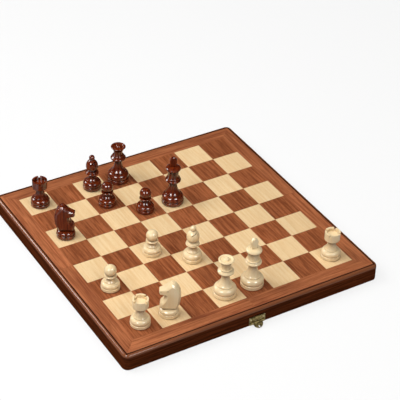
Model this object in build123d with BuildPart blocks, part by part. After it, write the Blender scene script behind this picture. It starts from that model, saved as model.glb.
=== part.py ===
from build123d import *
import os
from dataclasses import dataclass
from math import acos, cos, degrees, radians, sin, sqrt

# A folding wooden chess set: a board of two hinged trays with a latch, and fifteen men standing on it.
# Millimetres. +X runs along the near edge, +Y away from it and +Z up. The origin is on the floor, under the
# middle of the seam. The two trays are alike: each is drawn on the near side of its own plane, and the far
# tray's plane is turned half round.

# Playing field, in veneer
square = 40.0
squares_per_side = 8
border = 20.0
veneer_t = 0.8
veneer_joint = 0.06

# Tray: rails with a rounded lip round a sunk panel
frame_h = 22.5
rail_wall = 10.0
lip = 4.2
lip_round = 3.7
groove = 0.8
corner_r = 8.0
inner_corner_r = 0.5
panel_t = 4.2
seam_gap = 0.3
closed_gap = 0.2

# Butt hinges let into the seam rails
hinge_x = 110.0
hinge_len = 30.0
mid_knuckle_len = 11.0
leaf_w = 9.0
leaf_t = 0.8
knuckle_r = 1.4
knuckle_gap = 0.3
hinge_pin_r = 0.7
pin_end_gap = 0.2
bore_gap = 0.05
mortise_gap = 0.1
screw_hole_r = 0.9
screw_sink_r = 1.7
screw_pitch = 18.0

# Latch: a plate with a hinged tongue on the near tray, and a keeper with a stud on the far one
plate_w = 23.0
plate_h = 12.3
plate_t = 0.8
plate_lift = 0.2
plate_corner_r = 1.2
plate_roll_r = 0.7
smile_r = 5.2
smile_w = 1.2
smile_drop = 7.2
smile_rise = 0.5
nail_hole_r = 0.5
nail_inset = 2.5
nail_h = 8.6
eye_h = 3.5
eye_r = 1.2
eye_offset = 1.5
eye_gap = 0.3
lug_len = 3.4
lug_inset = 1.1
latch_pin_r = 0.6
tongue_len = 8.2
tongue_t = 0.8
tongue_floor_gap = 0.55
tongue_rim_w = 0.7
tongue_rim_h = 0.35
stud_at = 6.0
stud_r = 0.8
stud_reach = 3.8
slot_gap = 0.3
slot_run = 0.35

# Turned edges that all the men share
felt_t = 0.6
felt_inset = 1.4
edge = 0.8
quirk = 1.0
bulge = 0.45
quarter_sag = 1 - sqrt(0.5)


@dataclass(frozen=True)
class Stem:
    """Turned foot and stem of a man, up to its neck; heights follow each other."""

    base_r: float
    plinth_h: float
    bell_r: float
    bell_belly_h: float
    bell_h: float
    bead_r: float
    bead_h: float
    foot_r: float
    stem_h: float
    neck_r: float
    hollow: float


@dataclass(frozen=True)
class Collar:
    """Turned collar above a neck: a flared disc, a slope and a smaller ring."""

    flare_h: float
    flare_hollow: float
    disc_r: float
    disc_h: float
    slope_h: float
    ring_r: float
    ring_h: float


king_stem = Stem(
    base_r=15.0, plinth_h=5.2, bell_r=14.7, bell_belly_h=3.2, bell_h=9.2, bead_r=10.7, bead_h=1.6,
    foot_r=9.8, stem_h=15.0, neck_r=5.4, hollow=1.3,
)
king_collar = Collar(
    flare_h=3.8, flare_hollow=0.9, disc_r=10.7, disc_h=2.4, slope_h=1.4, ring_r=9.2, ring_h=1.8
)
king_waist_r = 7.4
king_barrel_r = 7.9
king_barrel_h = 10.8
king_barrel_hollow = 0.4
king_crown_r = 10.2
king_crown_flare_h = 1.2
king_crown_h = 2.8
king_dome_r = 5.0
king_dome_h = 2.1
finial_foot = 4.5
finial_wide = 5.0
finial_eaves_h = 9.4
finial_h = 14.8
finial_t = 4.6
finial_hollow = 0.3
finial_bulge = 0.9
finial_arris = 0.9
finial_sink = 0.6

queen_stem = Stem(
    base_r=15.0, plinth_h=5.2, bell_r=14.7, bell_belly_h=3.2, bell_h=9.0, bead_r=10.6, bead_h=1.6,
    foot_r=9.6, stem_h=15.0, neck_r=5.0, hollow=1.4,
)
queen_collar = Collar(
    flare_h=4.0, flare_hollow=0.9, disc_r=10.5, disc_h=2.4, slope_h=2.0, ring_r=8.0, ring_h=1.7
)
queen_waist_r = 5.9
queen_crown_r = 10.1
queen_crown_h = 12.0
queen_crown_hollow = 1.4
queen_rim_h = 1.3
queen_rim_w = 2.6
queen_dip = 0.9
queen_ball_r = 4.4
queen_ball_sink = 1.5

bishop_stem = Stem(
    base_r=12.7, plinth_h=5.0, bell_r=12.3, bell_belly_h=2.7, bell_h=7.6, bead_r=8.0, bead_h=1.5,
    foot_r=7.2, stem_h=5.0, neck_r=4.8, hollow=0.5,
)
bishop_collar = Collar(
    flare_h=4.4, flare_hollow=0.9, disc_r=9.1, disc_h=1.7, slope_h=0.2, ring_r=8.5, ring_h=1.5
)
mitre_foot_r = 5.2
mitre_foot_h = 1.6
mitre_r = 8.2
mitre_belly_h = 7.0
mitre_belly_bulge = 1.0
mitre_top_h = 9.7
mitre_top_bulge = 1.6
mitre_neck_r = 2.6
mitre_ball_r = 3.9
slit_w = 1.3
slit_h = 11.0
slit_back = 1.2
slit_tilt = 33.0

rook_stem = Stem(
    base_r=12.8, plinth_h=4.4, bell_r=12.5, bell_belly_h=2.8, bell_h=7.6, bead_r=8.8, bead_h=1.5,
    foot_r=8.0, stem_h=11.2, neck_r=5.2, hollow=0.8,
)
drum_flare_h = 1.8
drum_flare_hollow = 0.45
drum_r = 10.1
drum_edge = 1.8
drum_h = 12.3
drum_cup_r = 7.6
drum_cup_depth = 4.5
slot_w = 2.4
slot_depth = 2.7

pawn_stem = Stem(
    base_r=12.2, plinth_h=4.4, bell_r=11.9, bell_belly_h=2.3, bell_h=6.4, bead_r=7.6, bead_h=1.3,
    foot_r=6.8, stem_h=4.2, neck_r=4.6, hollow=0.4,
)
pawn_flare_h = 2.4
pawn_flare_hollow = 0.45
pawn_disc_r = 8.1
pawn_disc_h = 2.0
pawn_head_r = 7.8
pawn_head_neck_r = 4.2

knight_base_r = 12.5
knight_plinth_h = 5.0
knight_bell_r = 12.0
knight_bell_belly_h = 2.0
knight_bell_h = 5.4
knight_seat_r = 9.3
knight_t = 14.0
knight_arris = 2.8
foot_front = 10.4
foot_back = 9.4
chest_out = 11.6
chest_h = 3.5
breast_out = 8.8
breast_h = 11.4
breast_hollow = 0.9
throat_out = 5.0
throat_h = 20.4
throat_hollow = 0.4
jaw_out = 10.7
jaw_h = 21.9
muzzle_bulge = 0.8
nose_out = 12.3
nose_h = 27.6
face_dip = 0.5
brow_out = 3.0
brow_drop = 4.7
ear_back = 2.8
ear_h = 38.4
crest_back = 10.4
crest_drop = 5.2
mane_back = 14.2
mane_h = 20.0
shoulder_spread = 4.1
shoulder_h = 4.5
cheek_out = 2.6
muzzle_thin = 2.8

# Where the men stand, by file letter and rank, how far off the square's middle, and how they are turned
spots = {
    "white_rook_1": "a1",
    "white_knight": "b1",
    "white_queen": "d1",
    "white_king": "e1",
    "white_rook_2": "h1",
    "white_pawn_1": "a3",
    "white_bishop": "d3",
    "white_pawn_2": "c4",
    "dark_rook": "a8",
    "dark_bishop": "c8",
    "dark_queen": "d8",
    "dark_pawn_1": "c7",
    "dark_knight": "a6",
    "dark_pawn_2": "d6",
    "dark_king": "e6",
}
nudges = {
    "white_pawn_1": (0.6, -1.9),
    "white_pawn_2": (0.9, -4.1),
    "dark_pawn_1": (0.2, -3.4),
    "dark_pawn_2": (-1.9, 0.1),
    "dark_rook": (1.1, -1.9),
}
turns = {
    "white_rook_1": 14.0,
    "white_rook_2": 38.0,
    "dark_rook": -22.0,
    "white_knight": 149.0,
    "dark_knight": -31.0,
    "white_king": -6.0,
    "dark_king": -31.0,
    "white_bishop": -36.0,
    "dark_bishop": -36.0,
}

# Sizes that follow
field = square * squares_per_side
ranks_per_half = squares_per_side // 2
edge_width = border + groove + lip
board_w = field + 2 * edge_width
board_d = board_w + seam_gap
front_y = -board_d / 2
axis_z = knuckle_r
rim_z = axis_z + closed_gap / 2
top_z = rim_z + frame_h
panel_z = top_z - veneer_t - panel_t
pocket_w = board_w - 2 * rail_wall
pocket_d = board_w / 2 - 2 * rail_wall
pocket_y = -(seam_gap / 2 + rail_wall + pocket_d / 2)
knuckle_clear = knuckle_r + knuckle_gap
side_knuckle_len = (hinge_len - mid_knuckle_len) / 2 - knuckle_gap
side_knuckle_x = (mid_knuckle_len + side_knuckle_len) / 2 + knuckle_gap
leaf_y = -(leaf_w + knuckle_clear) / 2
plate_z = rim_z + plate_lift
plate_top = plate_z + plate_h
eye_z = rim_z + eye_h
nail_x = plate_w / 2 - nail_inset
lug_x = plate_w / 2 - lug_inset - lug_len / 2
tongue_w = 2 * lug_x - lug_len - 2 * eye_gap
tongue_angle = degrees(acos((eye_z - tongue_floor_gap) / tongue_len))
stud_z = rim_z + stud_at - eye_h - closed_gap
knight_seat_z = felt_t + knight_plinth_h + knight_bell_h
brow_h = ear_h - brow_drop
crest_h = ear_h - crest_drop

near = Plane.XY
far = Plane(origin=(0, 0, 0), x_dir=(-1, 0, 0))
AT_BOTTOM = (Align.CENTER, Align.CENTER, Align.MIN)
ALONG_X = (0, 90, 0)
BOTH_HINGES = (-hinge_x, hinge_x)

os.makedirs("parts", exist_ok=True)


def save(piece, name):
    """Label a finished piece and write it."""
    piece.part.label = name
    export_step(piece.part, f"parts/{name}.step")


# Trays


def half_outline(inset):
    """Draw one tray's outline, inset from the board's edge, in the current sketch."""
    RectangleRounded(board_w - 2 * inset, board_d - 2 * inset, max(corner_r - inset, inner_corner_r))
    with Locations((0, -(seam_gap + board_d) / 2)):
        Rectangle(board_w, board_d, mode=Mode.INTERSECT)


def mitred_end():
    """Draw the end rail's trapezium, cut at 45 degrees at both ends, in the current sketch."""
    reach = 1.5 * rail_wall
    Polygon(
        (-board_w / 2, front_y),
        (board_w / 2, front_y),
        (board_w / 2 - reach, front_y + reach),
        (-board_w / 2 + reach, front_y + reach),
        align=None,
    )


def seam_strip():
    """Draw the seam rail's strip between the side rails, in the current sketch."""
    with Locations((0, -(seam_gap + rail_wall) / 2)):
        Rectangle(pocket_w, rail_wall)


def make_frame(half):
    """Make a tray's rails in one: rounded outer edge, a rabbet for the panel and the open pocket."""
    with BuildPart() as frame:
        with BuildSketch(half.offset(rim_z)):
            half_outline(0)
        extrude(amount=frame_h)
        top = frame.faces().sort_by(Axis.Z)[-1]
        outer_edges = top.edges().sort_by_distance((0, 0, top_z))[1:]
        fillet(outer_edges, min(lip_round, 0.95 * lip))
        with BuildSketch(half.offset(panel_z)):
            half_outline(lip)
        extrude(amount=frame_h, mode=Mode.SUBTRACT)
        with BuildSketch(half.offset(rim_z)):
            with Locations((0, pocket_y)):
                Rectangle(pocket_w, pocket_d)
        extrude(amount=panel_z - rim_z, mode=Mode.SUBTRACT)
    return frame


def make_end_rail(half, frame):
    """Make the rail opposite the seam, mitred at both ends."""
    with BuildPart() as rail:
        add(frame.part)
        with BuildSketch(half.offset(rim_z)):
            mitred_end()
        extrude(amount=frame_h, mode=Mode.INTERSECT)
    return rail


def make_side_rails(half, frame):
    """Make the pair of side rails, from their mitres to the seam."""
    with BuildPart() as rails:
        add(frame.part)
        with BuildSketch(half.offset(rim_z)):
            mitred_end()
            seam_strip()
        extrude(amount=frame_h, mode=Mode.SUBTRACT)
    return rails


def make_seam_rail(half, frame):
    """Make the rail under the seam, with mortises for the hinge leaves and hollows for their knuckles."""
    with BuildPart() as rail:
        add(frame.part)
        with BuildSketch(half.offset(rim_z)):
            seam_strip()
        extrude(amount=frame_h, mode=Mode.INTERSECT)
        for x in BOTH_HINGES:
            with Locations((x, 0, axis_z)):
                Cylinder(knuckle_clear, hinge_len + 2 * knuckle_gap, rotation=ALONG_X, mode=Mode.SUBTRACT)
        with BuildSketch(half.offset(rim_z)):
            with Locations(*[(x, -leaf_w / 2) for x in BOTH_HINGES]):
                Rectangle(hinge_len + 2 * mortise_gap, leaf_w + 2 * mortise_gap)
        extrude(amount=leaf_t, mode=Mode.SUBTRACT)
    return rail


def make_panel(half):
    """Make the plywood panel that lies in the rabbet."""
    with BuildPart() as panel:
        with BuildSketch(half.offset(panel_z)):
            half_outline(lip + groove)
        extrude(amount=panel_t)
    return panel


def make_border(half):
    """Make the three border strips of veneer, mitred at the corners."""
    with BuildPart() as strips:
        with BuildSketch(half.offset(panel_z + panel_t)):
            half_outline(lip + groove)
            Rectangle(field, field + seam_gap, mode=Mode.SUBTRACT)
            for side in (-1, 1):
                corner = (side * (field + border) / 2, -(field + seam_gap + border) / 2)
                with Locations(Location(corner, side * -45)):
                    Rectangle(2 * border, veneer_joint, mode=Mode.SUBTRACT)
        extrude(amount=veneer_t)
    return strips


def make_squares(half, dark):
    """Make one colour's squares on a tray; the corner to the left of its end rail is dark."""
    centres = [
        ((file - (squares_per_side - 1) / 2) * square, front_y + edge_width + (rank + 0.5) * square)
        for file in range(squares_per_side)
        for rank in range(ranks_per_half)
        if ((file + rank) % 2 == 0) == dark
    ]
    with BuildPart() as squares:
        with BuildSketch(half.offset(panel_z + panel_t)):
            with Locations(*centres):
                Rectangle(square - veneer_joint, square - veneer_joint)
        extrude(amount=veneer_t)
    return squares


# Hinges


def make_leaves(half, knuckles):
    """Make a tray's two hinge leaves; knuckles lists each knuckle's offset along X and its length."""
    with BuildPart() as leaves:
        with BuildSketch(half.offset(rim_z)):
            for x in BOTH_HINGES:
                with Locations((x, leaf_y)):
                    Rectangle(hinge_len, leaf_w - knuckle_clear)
                for offset, length in knuckles:
                    with Locations((x + offset, -knuckle_clear / 2)):
                        Rectangle(length, knuckle_clear)
        extrude(amount=leaf_t)
        for x in BOTH_HINGES:
            for offset, length in knuckles:
                with Locations((x + offset, 0, axis_z)):
                    Cylinder(knuckle_r, length, rotation=ALONG_X)
            with Locations((x, 0, axis_z)):
                Cylinder(hinge_pin_r + bore_gap, 2 * hinge_len, rotation=ALONG_X, mode=Mode.SUBTRACT)
            for step in (-screw_pitch / 2, screw_pitch / 2):
                with Locations(half.from_local_coords((x + step, leaf_y, rim_z))):
                    Cone(screw_sink_r, screw_hole_r, leaf_t, align=AT_BOTTOM, mode=Mode.SUBTRACT)
    return leaves


def make_hinge_pins():
    """Make the two hinge pins."""
    with BuildPart() as pins:
        with Locations(*[(x, 0, axis_z) for x in BOTH_HINGES]):
            Cylinder(hinge_pin_r, hinge_len - 2 * pin_end_gap, rotation=ALONG_X)
    return pins


# Latch


def outer_face(half):
    """Give the plane of a tray's end rail: x along the edge, y up, facing out."""
    outward = half.from_local_coords((0, -1, 0))
    return Plane(origin=outward * -front_y, x_dir=half.x_dir, z_dir=outward)


def plate_outline(height):
    """Draw a plate with two nail holes on the rail's outer face, in the current sketch."""
    with Locations((0, plate_z + plate_h / 2)):
        RectangleRounded(plate_w, plate_h, plate_corner_r)
    with Locations((-nail_x, rim_z + height), (nail_x, rim_z + height)):
        Circle(nail_hole_r, mode=Mode.SUBTRACT)


def make_latch_plate(half):
    """Make the latch plate: a rolled top edge, an embossed smile, and a lug on each side of a window."""
    face = outer_face(half)
    eye = half.from_local_coords((0, front_y - eye_offset, eye_z))
    with BuildPart() as plate:
        with BuildSketch(face):
            plate_outline(nail_h)
            with Locations((0, eye_z)):
                Rectangle(tongue_w + 2 * eye_gap, 2 * (eye_r + eye_gap), mode=Mode.SUBTRACT)
        extrude(amount=plate_t)
        with BuildSketch(face.offset(plate_t)):
            with BuildLine():
                smile = CenterArc((0, plate_top - smile_drop + smile_r), smile_r, 200, 140)
            SlotArc(smile, smile_w)
        extrude(amount=smile_rise)
        with Locations(face.from_local_coords((0, plate_top - plate_roll_r, plate_t))):
            Cylinder(plate_roll_r, plate_w - 2 * plate_corner_r, rotation=ALONG_X)
        with Locations(*[eye + Vector(side * lug_x, 0, 0) for side in (-1, 1)]):
            Cylinder(eye_r, lug_len, rotation=ALONG_X)
        with Locations(eye):
            Cylinder(latch_pin_r + bore_gap, plate_w, rotation=ALONG_X, mode=Mode.SUBTRACT)
    return plate


def make_tongue(half):
    """Make the tongue, swung out to just over the floor: an eye, a round end with a raised rim, a slot."""
    turn = radians(tongue_angle)
    eye = half.from_local_coords((0, front_y - eye_offset, eye_z))
    flat = Plane(origin=eye, x_dir=half.x_dir, z_dir=half.from_local_coords((0, cos(turn), -sin(turn))))
    end_y = tongue_len - tongue_w / 2
    with BuildPart() as tongue:
        with BuildSketch(flat):
            with Locations((0, end_y)):
                Circle(tongue_w / 2)
            Rectangle(tongue_w, tongue_len, align=(Align.CENTER, Align.MIN), mode=Mode.INTERSECT)
            Rectangle(tongue_w, end_y, align=(Align.CENTER, Align.MIN))
            with Locations((0, stud_at + slot_run / 2)):
                SlotCenterToCenter(slot_run, 2 * (stud_r + slot_gap), rotation=90, mode=Mode.SUBTRACT)
        extrude(amount=tongue_t / 2, both=True)
        with BuildSketch(flat.offset(-tongue_t / 2)):
            with Locations((0, end_y)):
                Circle(tongue_w / 2)
                Circle(tongue_w / 2 - tongue_rim_w, mode=Mode.SUBTRACT)
                Rectangle(tongue_w, tongue_w, align=(Align.CENTER, Align.MIN), mode=Mode.INTERSECT)
        extrude(amount=-tongue_rim_h)
        with Locations(eye):
            Cylinder(eye_r, tongue_w, rotation=ALONG_X)
            Cylinder(latch_pin_r + bore_gap, plate_w, rotation=ALONG_X, mode=Mode.SUBTRACT)
    return tongue


def make_latch_pin(half):
    """Make the pin through the lugs and the tongue's eye."""
    with BuildPart() as pin:
        with Locations(half.from_local_coords((0, front_y - eye_offset, eye_z))):
            Cylinder(latch_pin_r, 2 * lug_x + lug_len - 2 * pin_end_gap, rotation=ALONG_X)
    return pin


def make_keeper(half):
    """Make the keeper plate, with the stud that goes through the tongue's slot."""
    face = outer_face(half)
    with BuildPart() as keeper:
        with BuildSketch(face):
            plate_outline(plate_h / 2)
        extrude(amount=plate_t)
        with BuildSketch(face):
            with Locations((0, stud_z)):
                Circle(stud_r)
        extrude(amount=stud_reach)
    return keeper


# Men


def spot_of(name):
    """Give the place on the playing face where a man stands."""
    letter, number = spots[name]
    file = "abcdefgh".index(letter) - (squares_per_side - 1) / 2
    rank = int(number) - ranks_per_half - 0.5
    seam = seam_gap / 2 if rank > 0 else -seam_gap / 2
    right, away = nudges.get(name, (0, 0))
    return Vector(file * square + right, rank * square + seam + away, top_z)


def upright(spot, turn=0.0):
    """Give the plane that an outline is drawn on: x is the radius, turned by an angle, and y the height."""
    across = radians(turn)
    right = (cos(across), sin(across), 0)
    return Plane(origin=spot, x_dir=right, z_dir=(sin(across), -cos(across), 0))


def draw_foot(base_r, plinth_h, bell):
    """Draw a flat foot, a plinth with rounded edges and a bell, up to the bell's radius and height."""
    bell_r, belly_h, top_r, bell_h = bell
    high = felt_t + plinth_h
    Line((0, felt_t), (base_r - edge, felt_t))
    SagittaArc((base_r - edge, felt_t), (base_r, felt_t + edge), -edge * quarter_sag)
    Line((base_r, felt_t + edge), (base_r, high - edge))
    SagittaArc((base_r, high - edge), (base_r - edge, high), -edge * quarter_sag)
    Line((base_r - edge, high), (base_r - quirk, high))
    ThreePointArc((base_r - quirk, high), (bell_r, high + belly_h), (top_r, high + bell_h))
    return top_r, high + bell_h


def draw_stem(stem):
    """Draw a stem's outline, from the axis at its foot to its neck; give the neck's radius and height."""
    bead_edge = stem.bead_r - bulge
    bell = (stem.bell_r, stem.bell_belly_h, bead_edge, stem.bell_h)
    bell_top = draw_foot(stem.base_r, stem.plinth_h, bell)[1]
    bead_top = bell_top + stem.bead_h
    neck = (stem.neck_r, bead_top + stem.stem_h)
    SagittaArc((bead_edge, bell_top), (bead_edge, bead_top), -bulge)
    Line((bead_edge, bead_top), (stem.foot_r, bead_top))
    SagittaArc((stem.foot_r, bead_top), neck, stem.hollow)
    return neck


def draw_disc(neck, flare_h, flare_hollow, disc_r, disc_h):
    """Draw a flare and a disc's rounded edge above a neck; give the disc's top edge."""
    disc_edge = disc_r - bulge
    disc_z = neck[1] + flare_h
    SagittaArc(neck, (disc_edge, disc_z), flare_hollow)
    SagittaArc((disc_edge, disc_z), (disc_edge, disc_z + disc_h), -bulge)
    return disc_edge, disc_z + disc_h


def draw_collar(neck, collar):
    """Draw a collar above a neck; give the radius and height of its top edge."""
    disc = draw_disc(neck, collar.flare_h, collar.flare_hollow, collar.disc_r, collar.disc_h)
    ring_edge = collar.ring_r - bulge
    ring_z = disc[1] + collar.slope_h
    Line(disc, (ring_edge, ring_z))
    SagittaArc((ring_edge, ring_z), (ring_edge, ring_z + collar.ring_h), -bulge)
    return ring_edge, ring_z + collar.ring_h


def make_king(spot, turn):
    """Make a king: stem, collar, barrel, crown and an arched slab finial with bevelled edges."""
    with BuildPart() as king:
        with BuildSketch(upright(spot)):
            with BuildLine():
                ring = draw_collar(draw_stem(king_stem), king_collar)
                barrel_top = ring[1] + king_barrel_h
                crown_edge = king_crown_r - bulge
                crown_z = barrel_top + king_crown_flare_h
                crown_top = crown_z + king_crown_h
                dome_top = crown_top + king_dome_h
                Line(ring, (king_waist_r, ring[1]))
                SagittaArc((king_waist_r, ring[1]), (king_barrel_r, barrel_top), king_barrel_hollow)
                Line((king_barrel_r, barrel_top), (crown_edge, crown_z))
                SagittaArc((crown_edge, crown_z), (crown_edge, crown_top), -bulge)
                SagittaArc((crown_edge, crown_top), (king_dome_r, dome_top), -bulge)
                Line((king_dome_r, dome_top), (0, dome_top))
                Line((0, dome_top), (0, felt_t))
            make_face()
        revolve(axis=Axis(spot, (0, 0, 1)))
        across = upright(spot, turn)
        foot_z = dome_top - finial_sink
        eaves_z = dome_top + finial_eaves_h
        with BuildSketch(across):
            with BuildLine():
                Line((-finial_foot, foot_z), (finial_foot, foot_z))
                SagittaArc((finial_foot, foot_z), (finial_wide, eaves_z), finial_hollow)
                SagittaArc((finial_wide, eaves_z), (0, dome_top + finial_h), -finial_bulge)
                SagittaArc((0, dome_top + finial_h), (-finial_wide, eaves_z), -finial_bulge)
                SagittaArc((-finial_wide, eaves_z), (-finial_foot, foot_z), finial_hollow)
            make_face()
        slab = extrude(amount=finial_t / 2 - finial_arris, both=True, mode=Mode.PRIVATE)
        add(slab)
        for side in slab.faces().filter_by(Axis(spot, across.z_dir)):
            extrude(side, amount=finial_arris, taper=45)
    return king


def make_queen(spot):
    """Make a queen: stem, collar, and a flared crown with a rounded rim and a ball sunk in its dish."""
    with BuildPart() as queen:
        with BuildSketch(upright(spot)):
            with BuildLine():
                ring = draw_collar(draw_stem(queen_stem), queen_collar)
                rim_edge = queen_crown_r - bulge
                rim_low = ring[1] + queen_crown_h
                rim_top = rim_low + queen_rim_h
                dish = (queen_crown_r - queen_rim_w - queen_dip, rim_top - queen_dip)
                ball_foot = (sqrt(queen_ball_r**2 - (queen_ball_sink - queen_dip) ** 2), dish[1])
                ball_top = (0, rim_top - queen_ball_sink + queen_ball_r)
                Line(ring, (queen_waist_r, ring[1]))
                SagittaArc((queen_waist_r, ring[1]), (rim_edge, rim_low), queen_crown_hollow)
                SagittaArc((rim_edge, rim_low), (rim_edge, rim_top), -bulge)
                SagittaArc((rim_edge, rim_top), (queen_crown_r - queen_rim_w, rim_top), -bulge)
                Line((queen_crown_r - queen_rim_w, rim_top), dish)
                Line(dish, ball_foot)
                TangentArc(ball_top, ball_foot, tangent=(1, 0))
                Line(ball_top, (0, felt_t))
            make_face()
        revolve(axis=Axis(spot, (0, 0, 1)))
    return queen


def make_bishop(spot, turn):
    """Make a bishop: stem, collar, and a mitre with a saw cut and a ball."""
    with BuildPart() as bishop:
        with BuildSketch(upright(spot)):
            with BuildLine():
                ring = draw_collar(draw_stem(bishop_stem), bishop_collar)
                foot_z = ring[1] + mitre_foot_h
                belly_z = foot_z + mitre_belly_h
                tip_z = belly_z + mitre_top_h
                ball_z = tip_z + sqrt(mitre_ball_r**2 - mitre_neck_r**2)
                Line(ring, (mitre_foot_r, foot_z))
                SagittaArc((mitre_foot_r, foot_z), (mitre_r, belly_z), -mitre_belly_bulge)
                SagittaArc((mitre_r, belly_z), (mitre_neck_r, tip_z), -mitre_top_bulge)
                ThreePointArc((mitre_neck_r, tip_z), (mitre_ball_r, ball_z), (0, ball_z + mitre_ball_r))
                Line((0, ball_z + mitre_ball_r), (0, felt_t))
            make_face()
        revolve(axis=Axis(spot, (0, 0, 1)))
        with BuildSketch(upright(spot, turn)):
            with Locations(Location((-slit_back, foot_z + slit_h), slit_tilt)):
                Rectangle(2 * mitre_r, slit_w, align=(Align.MIN, Align.CENTER))
        extrude(amount=2 * mitre_r, both=True, mode=Mode.SUBTRACT)
    return bishop


def make_rook(spot, turn):
    """Make a rook: stem and a drum with a cup and four slots."""
    with BuildPart() as rook:
        with BuildSketch(upright(spot)):
            with BuildLine():
                neck = draw_stem(rook_stem)
                drum_z = neck[1] + drum_flare_h
                drum_top = drum_z + drum_h
                cup_floor = drum_top - drum_cup_depth
                round_low = (drum_r - drum_edge, drum_z)
                round_high = (drum_r, drum_z + drum_edge)
                SagittaArc(neck, round_low, drum_flare_hollow)
                SagittaArc(round_low, round_high, -drum_edge * quarter_sag)
                Line(round_high, (drum_r, drum_top))
                Line((drum_r, drum_top), (drum_cup_r, drum_top))
                Line((drum_cup_r, drum_top), (drum_cup_r, cup_floor))
                Line((drum_cup_r, cup_floor), (0, cup_floor))
                Line((0, cup_floor), (0, felt_t))
            make_face()
        revolve(axis=Axis(spot, (0, 0, 1)))
        with BuildSketch(Plane(origin=spot + Vector(0, 0, drum_top))):
            Rectangle(3 * drum_r, slot_w, rotation=turn)
            Rectangle(slot_w, 3 * drum_r, rotation=turn)
        extrude(amount=-slot_depth, mode=Mode.SUBTRACT)
    return rook


def make_pawn(spot):
    """Make a pawn: stem, collar and a round head."""
    with BuildPart() as pawn:
        with BuildSketch(upright(spot)):
            with BuildLine():
                neck = draw_stem(pawn_stem)
                disc = draw_disc(neck, pawn_flare_h, pawn_flare_hollow, pawn_disc_r, pawn_disc_h)
                head_z = disc[1] + sqrt(pawn_head_r**2 - pawn_head_neck_r**2)
                Line(disc, (pawn_head_neck_r, disc[1]))
                ThreePointArc(
                    (pawn_head_neck_r, disc[1]), (pawn_head_r, head_z), (0, head_z + pawn_head_r)
                )
                Line((0, head_z + pawn_head_r), (0, felt_t))
            make_face()
        revolve(axis=Axis(spot, (0, 0, 1)))
    return pawn


def make_knight_base(spot):
    """Make a knight's turned base, flat on top for its head."""
    with BuildPart() as base:
        with BuildSketch(upright(spot)):
            with BuildLine():
                bell = (knight_bell_r, knight_bell_belly_h, knight_seat_r, knight_bell_h)
                seat = draw_foot(knight_base_r, knight_plinth_h, bell)
                Line(seat, (0, seat[1]))
                Line((0, seat[1]), (0, felt_t))
            make_face()
        revolve(axis=Axis(spot, (0, 0, 1)))
    return base


def make_knight_head(spot, turn):
    """Make a knight's head: a horse sawn from a slab, bevelled, round at the foot, thin at the muzzle."""
    seat = spot + Vector(0, 0, knight_seat_z)
    side = upright(seat, turn)
    with BuildPart() as head:
        with BuildSketch(side):
            with BuildLine():
                Line((-foot_back, 0), (foot_front, 0))
                ThreePointArc((foot_front, 0), (chest_out, chest_h), (breast_out, breast_h))
                SagittaArc((breast_out, breast_h), (throat_out, throat_h), breast_hollow)
                SagittaArc((throat_out, throat_h), (jaw_out, jaw_h), throat_hollow)
                SagittaArc((jaw_out, jaw_h), (nose_out, nose_h), -muzzle_bulge)
                SagittaArc((nose_out, nose_h), (brow_out, brow_h), face_dip)
                Line((brow_out, brow_h), (-ear_back, ear_h))
                mane = TangentArc((-mane_back, mane_h), (-crest_back, crest_h), tangent=(0, 1))
                TangentArc(mane @ 1, (-ear_back, ear_h), tangent=mane % 1)
                TangentArc((-mane_back, mane_h), (-foot_back, 0), tangent=(0, -1))
            make_face()
        extrude(amount=knight_t / 2 - knight_arris, both=True)
        for broad in head.faces().filter_by(Axis(seat, side.z_dir)):
            extrude(broad, amount=knight_arris, taper=45)
        with BuildSketch(upright(seat)):
            with BuildLine():
                Polyline(
                    (0, 0),
                    (knight_seat_r, 0),
                    (knight_seat_r + shoulder_spread, shoulder_h),
                    (3 * knight_seat_r, 2 * ear_h),
                    (0, 2 * ear_h),
                    close=True,
                )
            make_face()
        revolve(axis=Axis(seat, (0, 0, 1)), mode=Mode.INTERSECT)
        with BuildSketch(Plane(origin=seat + Vector(0, 0, throat_h), x_dir=side.x_dir)):
            for cheek in (-knight_t / 2, knight_t / 2):
                inner = cheek - muzzle_thin * (1 if cheek > 0 else -1)
                Polygon((cheek_out, cheek), (nose_out, inner), (2 * nose_out, inner), (2 * nose_out, cheek),
                        align=None)
        extrude(amount=ear_h, mode=Mode.SUBTRACT)
    return head


def make_felt(spot, base_r):
    """Make the felt disc under a man."""
    with BuildPart() as felt:
        with BuildSketch(Plane(origin=spot)):
            Circle(base_r - felt_inset)
        extrude(amount=felt_t)
    return felt


# Build and write the trays and their metalwork
for half_name, half in (("near", near), ("far", far)):
    frame = make_frame(half)
    save(make_end_rail(half, frame), f"{half_name}_end_rail")
    save(make_side_rails(half, frame), f"{half_name}_side_rails")
    save(make_seam_rail(half, frame), f"{half_name}_seam_rail")
    save(make_panel(half), f"{half_name}_panel")
    save(make_border(half), f"{half_name}_border")
    save(make_squares(half, dark=True), f"{half_name}_dark_squares")
    save(make_squares(half, dark=False), f"{half_name}_light_squares")

side_knuckles = [(-side_knuckle_x, side_knuckle_len), (side_knuckle_x, side_knuckle_len)]
save(make_leaves(near, side_knuckles), "near_hinge_leaves")
save(make_leaves(far, [(0, mid_knuckle_len)]), "far_hinge_leaves")
save(make_hinge_pins(), "hinge_pins")
save(make_latch_plate(near), "latch_plate")
save(make_tongue(near), "latch_tongue")
save(make_latch_pin(near), "latch_pin")
save(make_keeper(far), "keeper_plate")

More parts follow.
